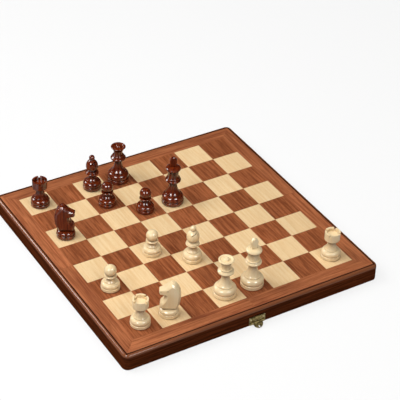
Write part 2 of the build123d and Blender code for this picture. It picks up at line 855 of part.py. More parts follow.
# Build and write the men, each with its felt
base_radius = {
    "king": king_stem.base_r,
    "queen": queen_stem.base_r,
    "bishop": bishop_stem.base_r,
    "rook": rook_stem.base_r,
    "pawn": pawn_stem.base_r,
    "knight": knight_base_r,
}
turned_makers = {"queen": make_queen, "pawn": make_pawn}
facing_makers = {"king": make_king, "bishop": make_bishop, "rook": make_rook}
for name in spots:
    kind = name.split("_")[1]
    spot = spot_of(name)
    if kind == "knight":
        save(make_knight_base(spot), f"{name}_base")
        save(make_knight_head(spot, turns[name]), f"{name}_head")
    elif kind in facing_makers:
        save(facing_makers[kind](spot, turns[name]), name)
    else:
        save(turned_makers[kind](spot), name)
    save(make_felt(spot, base_radius[kind]), f"{name}_felt")
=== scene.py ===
"""Dress a folding wooden chess set: two veneered trays, their hinges and latch, and fifteen men."""

import logging
import math
from abc import ABC, abstractmethod
from collections.abc import Callable
from dataclasses import dataclass, replace
from enum import Enum

import bmesh
import bpy
from mathutils import Euler, Matrix, Vector

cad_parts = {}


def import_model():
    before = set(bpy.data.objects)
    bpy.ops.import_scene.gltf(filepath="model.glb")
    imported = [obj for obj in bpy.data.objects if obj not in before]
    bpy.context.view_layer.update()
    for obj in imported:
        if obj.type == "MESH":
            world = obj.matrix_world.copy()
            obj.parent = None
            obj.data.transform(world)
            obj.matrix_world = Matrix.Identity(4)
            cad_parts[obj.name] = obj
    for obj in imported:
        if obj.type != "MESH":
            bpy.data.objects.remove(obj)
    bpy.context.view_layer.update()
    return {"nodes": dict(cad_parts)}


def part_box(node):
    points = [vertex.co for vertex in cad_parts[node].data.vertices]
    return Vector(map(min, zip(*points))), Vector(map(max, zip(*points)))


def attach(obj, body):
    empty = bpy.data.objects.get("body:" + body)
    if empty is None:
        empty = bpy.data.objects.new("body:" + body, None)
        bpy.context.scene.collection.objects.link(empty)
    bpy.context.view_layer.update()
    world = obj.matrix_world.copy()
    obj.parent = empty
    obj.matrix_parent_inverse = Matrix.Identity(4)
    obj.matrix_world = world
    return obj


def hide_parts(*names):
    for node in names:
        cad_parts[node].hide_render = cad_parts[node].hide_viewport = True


log = logging.getLogger("chess_set")

MM = 0.001
ORIGIN = (0, 0, 0)
Piece = bpy.types.Object
Nodes = dict[str, Piece]
Outputs = bpy.types.NodeOutputs
Socket = bpy.types.NodeSocket
Tree = bpy.types.NodeTree

# Numbered sockets of the Mix node, whose names repeat
COLOUR_A, COLOUR_B, COLOUR_OUT = 6, 7, 2
VECTOR_A, VECTOR_B, VECTOR_OUT = 4, 5, 1

# A face looks along Z when its normal's Z is past this
LOOKS = 0.9

# Painted shade of the groove, laid on the border's edge, the rail beside it and the plywood's edges
GROOVE_SHADE = "2A0F07"


class Half(Enum):
    """The two trays of the board, by the sign of their Y."""

    NEAR = -1
    FAR = 1

    @property
    def label(self) -> str:
        """First word of the names of the tray's pieces."""
        return self.name.lower()

    @property
    def body(self) -> str:
        """Name of the body that the tray's pieces ride on."""
        return f"{self.label}_half"


class Side(Enum):
    """The two sides of the game."""

    WHITE = "white"
    DARK = "dark"


class Grain(Enum):
    """Which of X, Y and Z run across the grain, along it and into the wood."""

    ALONG_X = (1, 0, 2)
    ALONG_Y = (0, 1, 2)
    ALONG_Z = (0, 2, 1)


class Shows(Enum):
    """What a lamp is there for: shading or highlights."""

    SHADE = "shade"
    GLOSS = "gloss"


def linear(code: str) -> tuple[float, float, float, float]:
    """Turn an sRGB hex colour into linear light.

    Args:
        code: the colour as six hex digits.

    Returns:
        Red, green, blue and alpha.
    """
    parts = [int(code[i : i + 2], 16) / 255 for i in (0, 2, 4)]
    red, green, blue = (c / 12.92 if c <= 0.04045 else ((c + 0.055) / 1.055) ** 2.4 for c in parts)
    return red, green, blue, 1.0


def add_node(tree: Tree, kind: str, inputs: dict | None = None, **settings: object) -> Outputs:
    """Add one shader node with its settings and links.

    Args:
        tree: the node tree of a material or the world.
        kind: the node's type, without its ShaderNode prefix.
        inputs: for each input, by name or number, a value or the output that feeds it.
        settings: the node's own settings.

    Returns:
        The new node's outputs.
    """
    node = tree.nodes.new("ShaderNode" + kind)
    for name, value in settings.items():
        setattr(node, name, value)
    for key, value in (inputs or {}).items():
        if isinstance(value, Socket):
            tree.links.new(value, node.inputs[key])
        else:
            node.inputs[key].default_value = value
    return node.outputs


# Finishes


@dataclass(frozen=True)
class Finish(ABC):
    """A material of the set, named for what the real one is."""

    name: str

    @abstractmethod
    def paint(self, tree: Tree, shader: bpy.types.Node) -> None:
        """Draw the finish.

        Args:
            tree: the material's node tree.
            shader: its Principled shader.
        """

    def material(self) -> bpy.types.Material:
        """Make the material on its first use.

        Returns:
            The one material of this finish.
        """
        made = bpy.data.materials.get(self.name)
        if made is None:
            made = bpy.data.materials.new(self.name)
            made.use_nodes = True
            self.paint(made.node_tree, made.node_tree.nodes["Principled BSDF"])
        return made

    def put_on(self, piece: Piece) -> None:
        """Give a piece this finish all over."""
        piece.data.materials.clear()
        piece.data.materials.append(self.material())


@dataclass(frozen=True)
class Wood(Finish):
    """Lacquered wood: long streaks, slow changes of tone along the board, and short pores.

    Streaks and pores have a width and a length in millimetres. A band is where noise goes from none to all.
    """

    pale: str
    deep: str
    pore: str
    grain: Grain
    streak: tuple[float, float]
    pores: tuple[float, float]
    pore_share: float
    cloud: float
    roughness: float
    coat: float = 0.0
    specular: float = 0.2
    film: float = 0.12
    streak_band: tuple[float, float] = (0.34, 0.66)
    pore_band: tuple[float, float] = (0.56, 0.72)
    cloud_band: tuple[float, float] = (0.3, 0.7)
    cloud_growth: tuple[float, float] = (8.0, 3.0)
    roughness_swing: float = 0.06
    pore_bump: float = 0.3
    pore_depth: float = 0.06

    def point(self, tree: Tree) -> tuple[Socket, list[Socket]]:
        """Read where a point is, in millimetres.

        Args:
            tree: the material's node tree.

        Returns:
            The point, and its X, Y and Z.
        """
        place = add_node(tree, "TexCoord")["Object"]
        point = add_node(tree, "VectorMath", {0: place, "Scale": 1 / MM}, operation="SCALE")[0]
        return point, list(add_node(tree, "SeparateXYZ", {0: point}))

    def leaf(self, tree: Tree) -> tuple[Socket, Socket | None]:
        """Lay the wood's own axes along the grain.

        Args:
            tree: the material's node tree.

        Returns:
            The point across, along and into the grain in millimetres, and the leaf's own shade if it has one.
        """
        axes = self.point(tree)[1]
        turned = {i: axes[axis] for i, axis in enumerate(self.grain.value)}
        return add_node(tree, "CombineXYZ", turned)[0], None

    def figure(self, tree: Tree, leaf: Socket, size: tuple[float, float], detail: float) -> Socket:
        """Draw one layer of figure, stretched along the grain.

        Args:
            tree: the material's node tree.
            leaf: the point in the wood's own axes.
            size: width and length of a streak, in millimetres.
            detail: how many finer layers are added.

        Returns:
            The layer, about 0.5 on average.
        """
        across, along = size
        scale = (1 / across, 1 / along, 1 / across)
        fibre = add_node(tree, "VectorMath", {0: leaf, 1: scale}, operation="MULTIPLY")[0]
        noise = {"Vector": fibre, "Scale": 1.0, "Detail": detail, "Roughness": 0.6, "Distortion": 0.3}
        return add_node(tree, "TexNoise", noise)[0]

    def paint(self, tree: Tree, shader: bpy.types.Node) -> None:
        """Draw streaks, tone and pores under a film of lacquer.

        Args:
            tree: the material's node tree.
            shader: its Principled shader.
        """
        leaf, shade = self.leaf(tree)
        streak = self.figure(tree, leaf, self.streak, detail=4.0)
        low, high = self.streak_band
        limits = {"Value": streak, "From Min": low, "From Max": high}
        band = add_node(tree, "MapRange", limits, interpolation_type="SMOOTHSTEP")[0]
        tones = {0: band, COLOUR_A: linear(self.deep), COLOUR_B: linear(self.pale)}
        streaked = add_node(tree, "Mix", tones, data_type="RGBA")[COLOUR_OUT]
        specks = self.figure(tree, leaf, self.pores, detail=1.0)
        low, high = self.pore_band
        limits = {"Value": specks, "From Min": low, "From Max": high, "To Max": self.pore_share}
        pores = add_node(tree, "MapRange", limits)[0]
        tones = {0: pores, COLOUR_A: streaked, COLOUR_B: linear(self.pore)}
        pored = add_node(tree, "Mix", tones, data_type="RGBA")[COLOUR_OUT]
        across, along = (size * growth for size, growth in zip(self.streak, self.cloud_growth))
        slow = self.figure(tree, leaf, (across, along), detail=1.0)
        low, high = self.cloud_band
        limits = {"From Min": low, "From Max": high, "To Min": 1 - self.cloud, "To Max": 1 + self.cloud}
        tone = add_node(tree, "MapRange", {"Value": slow, **limits})[0]
        if shade is not None:
            tone = add_node(tree, "Math", {0: tone, 1: shade}, operation="MULTIPLY")[0]
        toned = add_node(tree, "HueSaturation", {"Value": tone, "Color": pored})[0]
        # Some woods add painted light and shade to their colour here
        tree.links.new(self.weathered(tree, toned), shader.inputs["Base Color"])
        duller, glossier = self.roughness + self.roughness_swing, self.roughness - self.roughness_swing
        gloss = add_node(tree, "MapRange", {"Value": streak, "To Min": duller, "To Max": glossier})[0]
        tree.links.new(gloss, shader.inputs["Roughness"])
        relief = {"Strength": self.pore_bump, "Distance": self.pore_depth * MM, "Height": pores}
        bump = add_node(tree, "Bump", relief, invert=True)[0]
        tree.links.new(bump, shader.inputs["Normal"])
        shader.inputs["Specular IOR Level"].default_value = self.specular
        shader.inputs["Coat Weight"].default_value = self.coat
        shader.inputs["Coat Roughness"].default_value = self.film

    def weathered(self, tree: Tree, colour: Socket) -> Socket:
        """Leave the colour as the wood has it, with no painted light or shade."""
        return colour


@dataclass(frozen=True)
class Veneer(Wood):
    """Veneer in pieces cut from different places in the sheet, so each has its own figure and tone."""

    seam: float = 0.3
    spread: float = 0.05
    throw: tuple[float, float, float] = (600.0, 900.0, 50.0)

    def own_place(self, tree: Tree, label: Socket, point: Socket) -> tuple[Socket, Socket]:
        """Take a piece from its own place in the sheet.

        Args:
            tree: the material's node tree.
            label: a vector that is the same all over the piece, and another on the next one.
            point: the point in the piece.

        Returns:
            The point in the sheet, and the piece's shade.
        """
        chance = add_node(tree, "TexWhiteNoise", {"Vector": label}, noise_dimensions="3D")
        thrown = {0: chance["Color"], 1: self.throw, 2: point}
        sheet = add_node(tree, "VectorMath", thrown, operation="MULTIPLY_ADD")[0]
        limits = {"To Min": 1 - self.spread, "To Max": 1 + self.spread}
        return sheet, add_node(tree, "MapRange", {"Value": chance["Value"], **limits})[0]


@dataclass(frozen=True)
class VeneerSquares(Veneer):
    """Squares of veneer."""

    square: float = 40.0

    def leaf(self, tree: Tree) -> tuple[Socket, Socket | None]:
        """Shift every square to its own place in the sheet of veneer.

        Args:
            tree: the material's node tree.

        Returns:
            The point in the sheet, and the square's shade.
        """
        point, axes = self.point(tree)
        sign = add_node(tree, "Math", {0: axes[1]}, operation="SIGN")[0]
        shift = {0: sign, 1: -self.seam / 2, 2: axes[1]}
        closed = add_node(tree, "Math", shift, operation="MULTIPLY_ADD")[0]
        flat = add_node(tree, "CombineXYZ", {0: axes[0], 1: closed})[0]
        counted = add_node(tree, "VectorMath", {0: flat, "Scale": 1 / self.square}, operation="SCALE")[0]
        cell = add_node(tree, "VectorMath", {0: counted}, operation="FLOOR")[0]
        return self.own_place(tree, cell, point)


@dataclass(frozen=True)
class MitredStrips(Veneer):
    """Border strips whose grain follows each strip and turns at the mitres."""

    throw: tuple[float, float, float] = (300.0, 900.0, 50.0)
    end_label: tuple[float, float, float] = (0.0, 3.0, 0.0)
    edge: float = 180.0
    # Width and strength of the shade painted beside the groove
    soak: float = 0.7
    stain_share: float = 0.85

    def weathered(self, tree: Tree, colour: Socket) -> Socket:
        """Paint shade on the strips' outer edges, beside the groove, where its shadow falls.

        Args:
            tree: the material's node tree.
            colour: the veneer's colour.

        Returns:
            The colour with its painted shade by the groove.
        """
        axes = self.point(tree)[1]
        far = [add_node(tree, "Math", {0: axis}, operation="ABSOLUTE")[0] for axis in axes[:2]]
        closed = add_node(tree, "Math", {0: far[1], 1: self.seam / 2}, operation="SUBTRACT")[0]
        out = add_node(tree, "Math", {0: far[0], 1: closed}, operation="MAXIMUM")[0]
        # Painted shade: darker towards the groove at the outer edge
        limits = {"From Min": self.edge - self.soak, "From Max": self.edge, "To Max": self.stain_share}
        groove_shaded = add_node(tree, "MapRange", {"Value": out, **limits}, interpolation_type="SMOOTHSTEP")[0]
        tones = {0: groove_shaded, COLOUR_A: colour, COLOUR_B: linear(GROOVE_SHADE)}
        return add_node(tree, "Mix", tones, data_type="RGBA")[COLOUR_OUT]

    def leaf(self, tree: Tree) -> tuple[Socket, Socket | None]:
        """Turn the grain on the strips along the board's ends.

        Args:
            tree: the material's node tree.

        Returns:
            The point in the strip, and the strip's shade.
        """
        point, axes = self.point(tree)
        far = [add_node(tree, "Math", {0: axis}, operation="ABSOLUTE")[0] for axis in axes[:2]]
        past = add_node(tree, "Math", {0: far[1], 1: far[0]}, operation="SUBTRACT")[0]
        at_end = add_node(tree, "Math", {0: past, 1: self.seam / 2}, operation="GREATER_THAN")[0]
        swapped = add_node(tree, "CombineXYZ", {0: axes[1], 1: axes[0], 2: axes[2]})[0]
        ways = {0: at_end, VECTOR_A: point, VECTOR_B: swapped}
        strip = add_node(tree, "Mix", ways, data_type="VECTOR")[VECTOR_OUT]
        sign = add_node(tree, "VectorMath", {0: point}, operation="SIGN")[0]
        end_sign = add_node(tree, "VectorMath", {0: sign, 1: self.end_label}, operation="MULTIPLY")[0]
        labels = {0: at_end, VECTOR_A: sign, VECTOR_B: end_sign}
        label = add_node(tree, "Mix", labels, data_type="VECTOR")[VECTOR_OUT]
        return self.own_place(tree, label, strip)


@dataclass(frozen=True)
class StainedRail(Wood):
    """Solid rail: dark on its sides, partly stain and partly painted shade, with painted shade by the groove
    and a lip painted paler as the light from above shows it.
    """

    # Paler colour painted on the lip for the light from above, and the heights and share of it
    lip: str = "8E5638"
    lip_low: float = 19.6
    lip_high: float = 21.6
    lip_share: float = 0.8
    lip_coat: float = 0.8
    groove_out: float = 180.8
    # Width and strength of the shade painted beside the groove
    soak: float = 1.0
    soak_core: float = 0.4
    stain_share: float = 0.9

    def lip_mask(self, tree: Tree) -> Socket:
        """Find the rounded lip by its height.

        Args:
            tree: the material's node tree.

        Returns:
            0 on the sides, 1 on the lip.
        """
        height = self.point(tree)[1][2]
        limits = {"Value": height, "From Min": self.lip_low, "From Max": self.lip_high}
        return add_node(tree, "MapRange", limits, interpolation_type="SMOOTHSTEP")[0]

    def weathered(self, tree: Tree, colour: Socket) -> Socket:
        """Paint the lip paler, as the light from above shows it, and paint shade beside the groove.

        Args:
            tree: the material's node tree.
            colour: the stained wood's colour.

        Returns:
            The colour with painted light on its lip and painted shade by the groove.
        """
        lip = self.lip_mask(tree)
        # Painted light: the lip is made paler, as the light from above shows it
        share = add_node(tree, "Math", {0: lip, 1: self.lip_share}, operation="MULTIPLY")[0]
        tones = {0: share, COLOUR_A: colour, COLOUR_B: linear(self.lip)}
        wear_and_lip_light = add_node(tree, "Mix", tones, data_type="RGBA")[COLOUR_OUT]
        across = self.point(tree)[1][self.grain.value[0]]
        out = add_node(tree, "Math", {0: across}, operation="ABSOLUTE")[0]
        # Painted shade of the groove on the rail beside it
        start, full = self.groove_out + self.soak, self.groove_out + self.soak_core
        limits = {"From Min": start, "From Max": full, "To Max": self.stain_share}
        groove_shaded = add_node(tree, "MapRange", {"Value": out, **limits}, interpolation_type="SMOOTHSTEP")[0]
        tones = {0: groove_shaded, COLOUR_A: wear_and_lip_light, COLOUR_B: linear(GROOVE_SHADE)}
        return add_node(tree, "Mix", tones, data_type="RGBA")[COLOUR_OUT]

    def paint(self, tree: Tree, shader: bpy.types.Node) -> None:
        """Draw the wood, with its lacquer left whole on the lip only.

        Args:
            tree: the material's node tree.
            shader: its Principled shader.
        """
        super().paint(tree, shader)
        film = add_node(tree, "Math", {0: self.lip_mask(tree), 1: self.lip_coat}, operation="MULTIPLY")[0]
        tree.links.new(film, shader.inputs["Coat Weight"])


@dataclass(frozen=True)
class SealedPlywood(Wood):
    """Plywood, pale on its faces, with shade painted on its upright edges, which line the groove."""

    def weathered(self, tree: Tree, colour: Socket) -> Socket:
        """Paint shade on the upright edges, where the groove is dark.

        Args:
            tree: the material's node tree.
            colour: the face veneer's colour.

        Returns:
            The colour with its stained edges.
        """
        # Painted shade: the upright edges take the groove's dark colour
        normal = add_node(tree, "NewGeometry")["Normal"]
        up = add_node(tree, "SeparateXYZ", {0: normal})["Z"]
        flat = add_node(tree, "Math", {0: up}, operation="ABSOLUTE")[0]
        tones = {0: flat, COLOUR_A: linear(GROOVE_SHADE), COLOUR_B: colour}
        return add_node(tree, "Mix", tones, data_type="RGBA")[COLOUR_OUT]


@dataclass(frozen=True, kw_only=True)
class TurnedLacquer(Wood):
    """Turned wood under a thick lacquer, with shade painted where the piece hides the sky above it, under its
    overhangs.
    """

    # Colour, strength and reach of the shade painted under the overhangs
    pool: str
    pool_share: float
    pool_reach: float = 50.0
    sheltered: tuple[float, float] = (0.45, 0.12)

    def weathered(self, tree: Tree, colour: Socket) -> Socket:
        """Paint shade where the piece hides the sky above it, under its overhangs.

        Args:
            tree: the material's node tree.
            colour: the wood's colour.

        Returns:
            The colour with its painted shade.
        """
        # Painted shade: the colour darkens where the piece itself hides the sky above
        spaces = {"convert_from": "OBJECT", "convert_to": "WORLD"}
        up = add_node(tree, "VectorTransform", {0: (0, 0, 1)}, vector_type="NORMAL", **spaces)[0]
        reach = {"Distance": self.pool_reach * MM, "Normal": up}
        open_sky = add_node(tree, "AmbientOcclusion", reach, samples=8, only_local=True)["AO"]
        dry, wet = self.sheltered
        limits = {"From Min": dry, "From Max": wet, "To Max": self.pool_share}
        overhang_shaded = add_node(tree, "MapRange", {"Value": open_sky, **limits})[0]
        tones = {0: overhang_shaded, COLOUR_A: colour, COLOUR_B: linear(self.pool)}
        return add_node(tree, "Mix", tones, data_type="RGBA")[COLOUR_OUT]


@dataclass(frozen=True)
class Metal(Finish):
    """Sheet metal or wire: brushed along X, patchy with age, and rubbed bright on its edges."""

    base: str
    aged: str
    worn: str
    patch: float
    brush: tuple[float, float]
    wear: float
    roughness: float
    patch_band: tuple[float, float] = (0.38, 0.62)
    wear_band: tuple[float, float] = (0.75, 0.35)
    wear_share: float = 0.9
    roughness_swing: float = 0.12
    brush_bump: float = 0.25
    brush_depth: float = 0.03

    def paint(self, tree: Tree, shader: bpy.types.Node) -> None:
        """Draw the patina, the brushing and the bright edges.

        Args:
            tree: the material's node tree.
            shader: its Principled shader.
        """
        place = add_node(tree, "TexCoord")["Object"]
        spotted = {"Vector": place, "Scale": 1 / (self.patch * MM), "Detail": 4.0, "Roughness": 0.65}
        spots = add_node(tree, "TexNoise", spotted)[0]
        low, high = self.patch_band
        limits = {"Value": spots, "From Min": low, "From Max": high}
        patches = add_node(tree, "MapRange", limits, interpolation_type="SMOOTHSTEP")[0]
        tones = {0: patches, COLOUR_A: linear(self.base), COLOUR_B: linear(self.aged)}
        patina = add_node(tree, "Mix", tones, data_type="RGBA")[COLOUR_OUT]
        reach = {"Distance": self.wear * MM}
        inside = add_node(tree, "AmbientOcclusion", reach, samples=6, inside=True, only_local=True)["AO"]
        low, high = self.wear_band
        limits = {"From Min": low, "From Max": high, "To Max": self.wear_share}
        wear_and_lip_light = add_node(tree, "MapRange", {"Value": inside, **limits})[0]
        tones = {0: wear_and_lip_light, COLOUR_A: patina, COLOUR_B: linear(self.worn)}
        colour = add_node(tree, "Mix", tones, data_type="RGBA")[COLOUR_OUT]
        tree.links.new(colour, shader.inputs["Base Color"])
        across, along = self.brush
        scale = (1 / (along * MM), 1 / (across * MM), 1 / (across * MM))
        stroke = add_node(tree, "VectorMath", {0: place, 1: scale}, operation="MULTIPLY")[0]
        brushed = add_node(tree, "TexNoise", {"Vector": stroke, "Scale": 1.0, "Detail": 2.0})[0]
        glossier, duller = self.roughness - self.roughness_swing, self.roughness + self.roughness_swing
        dull = add_node(tree, "MapRange", {"Value": brushed, "To Min": glossier, "To Max": duller})[0]
        tree.links.new(dull, shader.inputs["Roughness"])
        relief = {"Strength": self.brush_bump, "Distance": self.brush_depth * MM, "Height": brushed}
        bump = add_node(tree, "Bump", relief)[0]
        tree.links.new(bump, shader.inputs["Normal"])
        shader.inputs["Metallic"].default_value = 1.0


@dataclass(frozen=True)
class WoolFelt(Finish):
    """Pressed wool: matted fibres that catch light on their tips."""

    base: str
    deep: str
    fibre: float
    mat: float
    depth_band: tuple[float, float] = (0.7, 1.3)
    hair_bump: float = 0.6
    hair_depth: float = 0.15

    def paint(self, tree: Tree, shader: bpy.types.Node) -> None:
        """Draw matted fibres over a cloudy dye.

        Args:
            tree: the material's node tree.
            shader: its Principled shader.
        """
        place = add_node(tree, "TexCoord")["Object"]
        matted = {"Vector": place, "Scale": 1 / (self.mat * MM), "Detail": 3.0, "Distortion": 1.0}
        cloud = add_node(tree, "TexNoise", matted)[0]
        hairs = {"Vector": place, "Scale": 1 / (self.fibre * MM), "Detail": 4.0, "Distortion": 2.5}
        hair = add_node(tree, "TexNoise", hairs)[0]
        mixed = add_node(tree, "Math", {0: cloud, 1: hair}, operation="ADD")[0]
        low, high = self.depth_band
        depth = add_node(tree, "MapRange", {"Value": mixed, "From Min": low, "From Max": high})[0]
        tones = {0: depth, COLOUR_A: linear(self.deep), COLOUR_B: linear(self.base)}
        colour = add_node(tree, "Mix", tones, data_type="RGBA")[COLOUR_OUT]
        tree.links.new(colour, shader.inputs["Base Color"])
        relief = {"Strength": self.hair_bump, "Distance": self.hair_depth * MM, "Height": hair}
        bump = add_node(tree, "Bump", relief)[0]
        tree.links.new(bump, shader.inputs["Normal"])
        shader.inputs["Roughness"].default_value = 0.95
        shader.inputs["Specular IOR Level"].default_value = 0.1
        shader.inputs["Sheen Weight"].default_value = 0.3
        shader.inputs["Sheen Roughness"].default_value = 0.5


# Sliced sapele: red-brown ribbon streaks 2 to 3 mm wide with dark pores, and a satin lacquer over all. The
# pores are really 0.2 mm wide, and here and below are drawn 0.7 or 0.8 mm wide so that they show.
SAPELE = VeneerSquares(
    "sapele_veneer_lacquered",
    "B0673F", "824424", "4E2210", Grain.ALONG_Y, streak=(2.4, 46.0), pores=(0.8, 9.0),
    pore_share=0.45, cloud=0.1, roughness=0.42, spread=0.08,
)
# Sliced maple: nearly plain cream with faint straight lines and small flecks, satin.
MAPLE = VeneerSquares(
    "maple_veneer_lacquered",
    "F4D5A5", "ECC793", "D9AD74", Grain.ALONG_Y, streak=(3.0, 70.0), pores=(0.8, 5.0),
    pore_share=0.3, cloud=0.025, roughness=0.42, spread=0.035,
)
# The border is the same sapele, cut along the strips and a little paler.
SAPELE_BORDER = MitredStrips(
    "sapele_strip_lacquered",
    "BC7349", "8B4A2C", "592815", Grain.ALONG_Y, streak=(2.4, 80.0), pores=(0.8, 12.0),
    pore_share=0.45, cloud=0.08, roughness=0.42,
)
# Rails: solid sapele stained dark, partly as painted shade on the sides, straight grain along each rail. The
# rounded lip is painted paler, as the light from above shows it, and keeps a full lacquer that catches the
# light; the sides are duller.
RAIL_ALONG_Y = StainedRail(
    "sapele_solid_stained_y",
    "642F17", "3E1D0D", "1E0A04", Grain.ALONG_Y, streak=(2.2, 90.0), pores=(0.8, 14.0),
    pore_share=0.5, cloud=0.1, roughness=0.4, specular=0.0,
)
RAIL_ALONG_X = replace(RAIL_ALONG_Y, name="sapele_solid_stained_x", grain=Grain.ALONG_X, groove_out=180.95)
# Birch plywood: a rotary-cut face with broad wandering figure, sealed nearly matt, its edges painted with
# groove shade.
PLYWOOD = SealedPlywood(
    "birch_plywood_sealed",
    "DDBE8F", "C9A271", "A87E50", Grain.ALONG_X, streak=(9.0, 80.0), pores=(0.8, 4.0),
    pore_share=0.35, cloud=0.06, roughness=0.6,
)
# Boxwood turned and lacquered clear: cream, faint upright grain, painted honey shade under overhangs, glossy.
BOXWOOD = TurnedLacquer(
    "boxwood_turned_lacquered",
    "FDE6BA", "F9DCAA", "EDC88E", Grain.ALONG_Z, streak=(2.2, 60.0), pores=(0.7, 9.0),
    pore_share=0.12, cloud=0.02, roughness=0.28, coat=0.6, film=0.07, pool="6A3A10", pool_share=0.8,
)
# The same turnings dyed dark and lacquered: deep red-brown, painted near-black shade under overhangs, very
# glossy.
DYED_BOXWOOD = TurnedLacquer(
    "boxwood_turned_dyed",
    "80320D", "4A1306", "240804", Grain.ALONG_Z, streak=(2.0, 50.0), pores=(0.7, 8.0), pore_share=0.35,
    cloud=0.12, roughness=0.25, coat=1.0, specular=0.15, film=0.06, pool="0A0201", pool_share=0.95,
)
# Bronzed steel sheet: olive brown, darker oxide in patches, and pale metal on the edges that fingers rub.
BRONZED_STEEL = Metal(
    "steel_sheet_bronzed", "A08E5C", "5C5134", "E4D6AE",
    patch=3.0, brush=(0.5, 9.0), wear=0.5, roughness=0.38,
)
# Rolled brass sheet of the hinges: yellow, lightly brushed, dulled in patches.
BRASS = Metal(
    "brass_sheet_brushed", "C29B52", "A27C3C", "E6CB8C",
    patch=5.0, brush=(0.35, 12.0), wear=0.4, roughness=0.3,
)
# Drawn steel wire of the pins: grey and smooth.
STEEL = Metal(
    "steel_wire_drawn", "A9A9A6", "8B8A86", "D2D2CE",
    patch=2.0, brush=(0.3, 10.0), wear=0.3, roughness=0.28,
)
# Pressed wool under the men: bottle green, matt and hairy.
FELT = WoolFelt("wool_felt_pressed", "3C6B45", "24482D", fibre=0.45, mat=3.0)


# Modelling by hand


def start_piece(add: Callable[..., set[str]], name: str, **sizes: object) -> Piece:
    """Add a primitive at the origin with nothing else selected, and open it in edit mode.

    Args:
        add: the operator that adds it.
        name: the piece's name.
        sizes: the operator's sizes.

    Returns:
        The new piece, selected all over.
    """
    bpy.ops.object.select_all(action="DESELECT")
    add(location=ORIGIN, **sizes)
    piece = bpy.context.object
    piece.name = piece.data.name = name
    bpy.ops.object.mode_set(mode="EDIT")
    bpy.ops.mesh.select_mode(type="FACE")
    return piece


def select_faces(piece: Piece, wanted: Callable[[bmesh.types.BMFace], bool]) -> None:
    """Select the faces that pass a test, and no others.

    Args:
        piece: the piece in edit mode.
        wanted: the test of one face.
    """
    bpy.ops.mesh.select_all(action="DESELECT")
    shape = bmesh.from_edit_mesh(piece.data)
    for face in shape.faces:
        if wanted(face):
            face.select_set(True)
    bmesh.update_edit_mesh(piece.data)


def extrude(by: Vector) -> None:
    """Extrude the selected faces."""
    bpy.ops.mesh.extrude_region_move(TRANSFORM_OT_translate={"value": tuple(by)})


def stretch(by: tuple[float, float, float], about: Vector | tuple[float, float, float] = ORIGIN) -> None:
    """Scale what is selected about a centre."""
    bpy.ops.transform.resize(value=by, center_override=tuple(about))


def end_piece(piece: Piece, smooth_to: float) -> Piece:
    """Close edit mode and shade a piece smooth up to an angle.

    Args:
        piece: the piece in edit mode.
        smooth_to: the sharpest angle that is still smooth, in degrees.

    Returns:
        The piece.
    """
    bpy.ops.mesh.select_all(action="SELECT")
    bpy.ops.mesh.normals_make_consistent(inside=False)
    bpy.ops.object.mode_set(mode="OBJECT")
    bpy.ops.object.shade_smooth_by_angle(angle=math.radians(smooth_to))
    return piece


def apply_modifier(piece: Piece, kind: str, **settings: object) -> None:
    """Add a modifier to a piece and apply it.

    Args:
        piece: the piece, in object mode.
        kind: the modifier's type.
        settings: the modifier's own settings.
    """
    modifier = piece.modifiers.new(kind.lower(), kind)
    for name, value in settings.items():
        setattr(modifier, name, value)
    bpy.context.view_layer.objects.active = piece
    bpy.ops.object.modifier_apply(modifier=modifier.name)


def carve(piece: Piece, cutter: Piece) -> None:
    """Cut one piece out of another, and put the cutter away."""
    apply_modifier(piece, "BOOLEAN", object=cutter, operation="DIFFERENCE", solver="EXACT")
    bpy.data.objects.remove(cutter)


def copy_piece(master: Piece, name: str, place: Matrix) -> Piece:
    """Copy a piece with a mesh of its own, and put that mesh in its place.

    Args:
        master: the piece that was modelled.
        name: the copy's name.
        place: where the copy goes.

    Returns:
        The copy, with its object at the origin.
    """
    copy = bpy.data.objects.new(name, master.data.copy())
    bpy.context.scene.collection.objects.link(copy)
    copy.data.name = name
    copy.data.transform(place)
    return copy


# Sub-assemblies


class Assembly(ABC):
    """A group of pieces that is built and dressed together."""

    @property
    @abstractmethod
    def finishes(self) -> dict[str, Finish]:
        """Finish of each CAD node that shows, by the node's name."""

    def build(self, nodes: Nodes) -> list[Piece]:
        """Model the pieces that the solids don't have, of which there may be none."""
        return []

    def dress(self, nodes: Nodes) -> list[Piece]:
        """Put finishes on the solids.

        Args:
            nodes: the CAD nodes by name.

        Returns:
            The pieces that were dressed.
        """
        for name, finish in self.finishes.items():
            finish.put_on(nodes[name])
        return [nodes[name] for name in self.finishes]


@dataclass(frozen=True)
class TrayHalf(Assembly):
    """One tray of the board: rails, panel, border and squares."""

    half: Half

    @property
    def finishes(self) -> dict[str, Finish]:
        """Choose the wood of every piece, with the grain along it.

        Returns:
            The woods, by the names of the CAD nodes.
        """
        woods = {
            "end_rail": RAIL_ALONG_X,
            "seam_rail": RAIL_ALONG_X,
            "side_rails": RAIL_ALONG_Y,
            "panel": PLYWOOD,
            "border": SAPELE_BORDER,
            "dark_squares": SAPELE,
            "light_squares": MAPLE,
        }
        return {f"{self.half.label}_{name}": wood for name, wood in woods.items()}


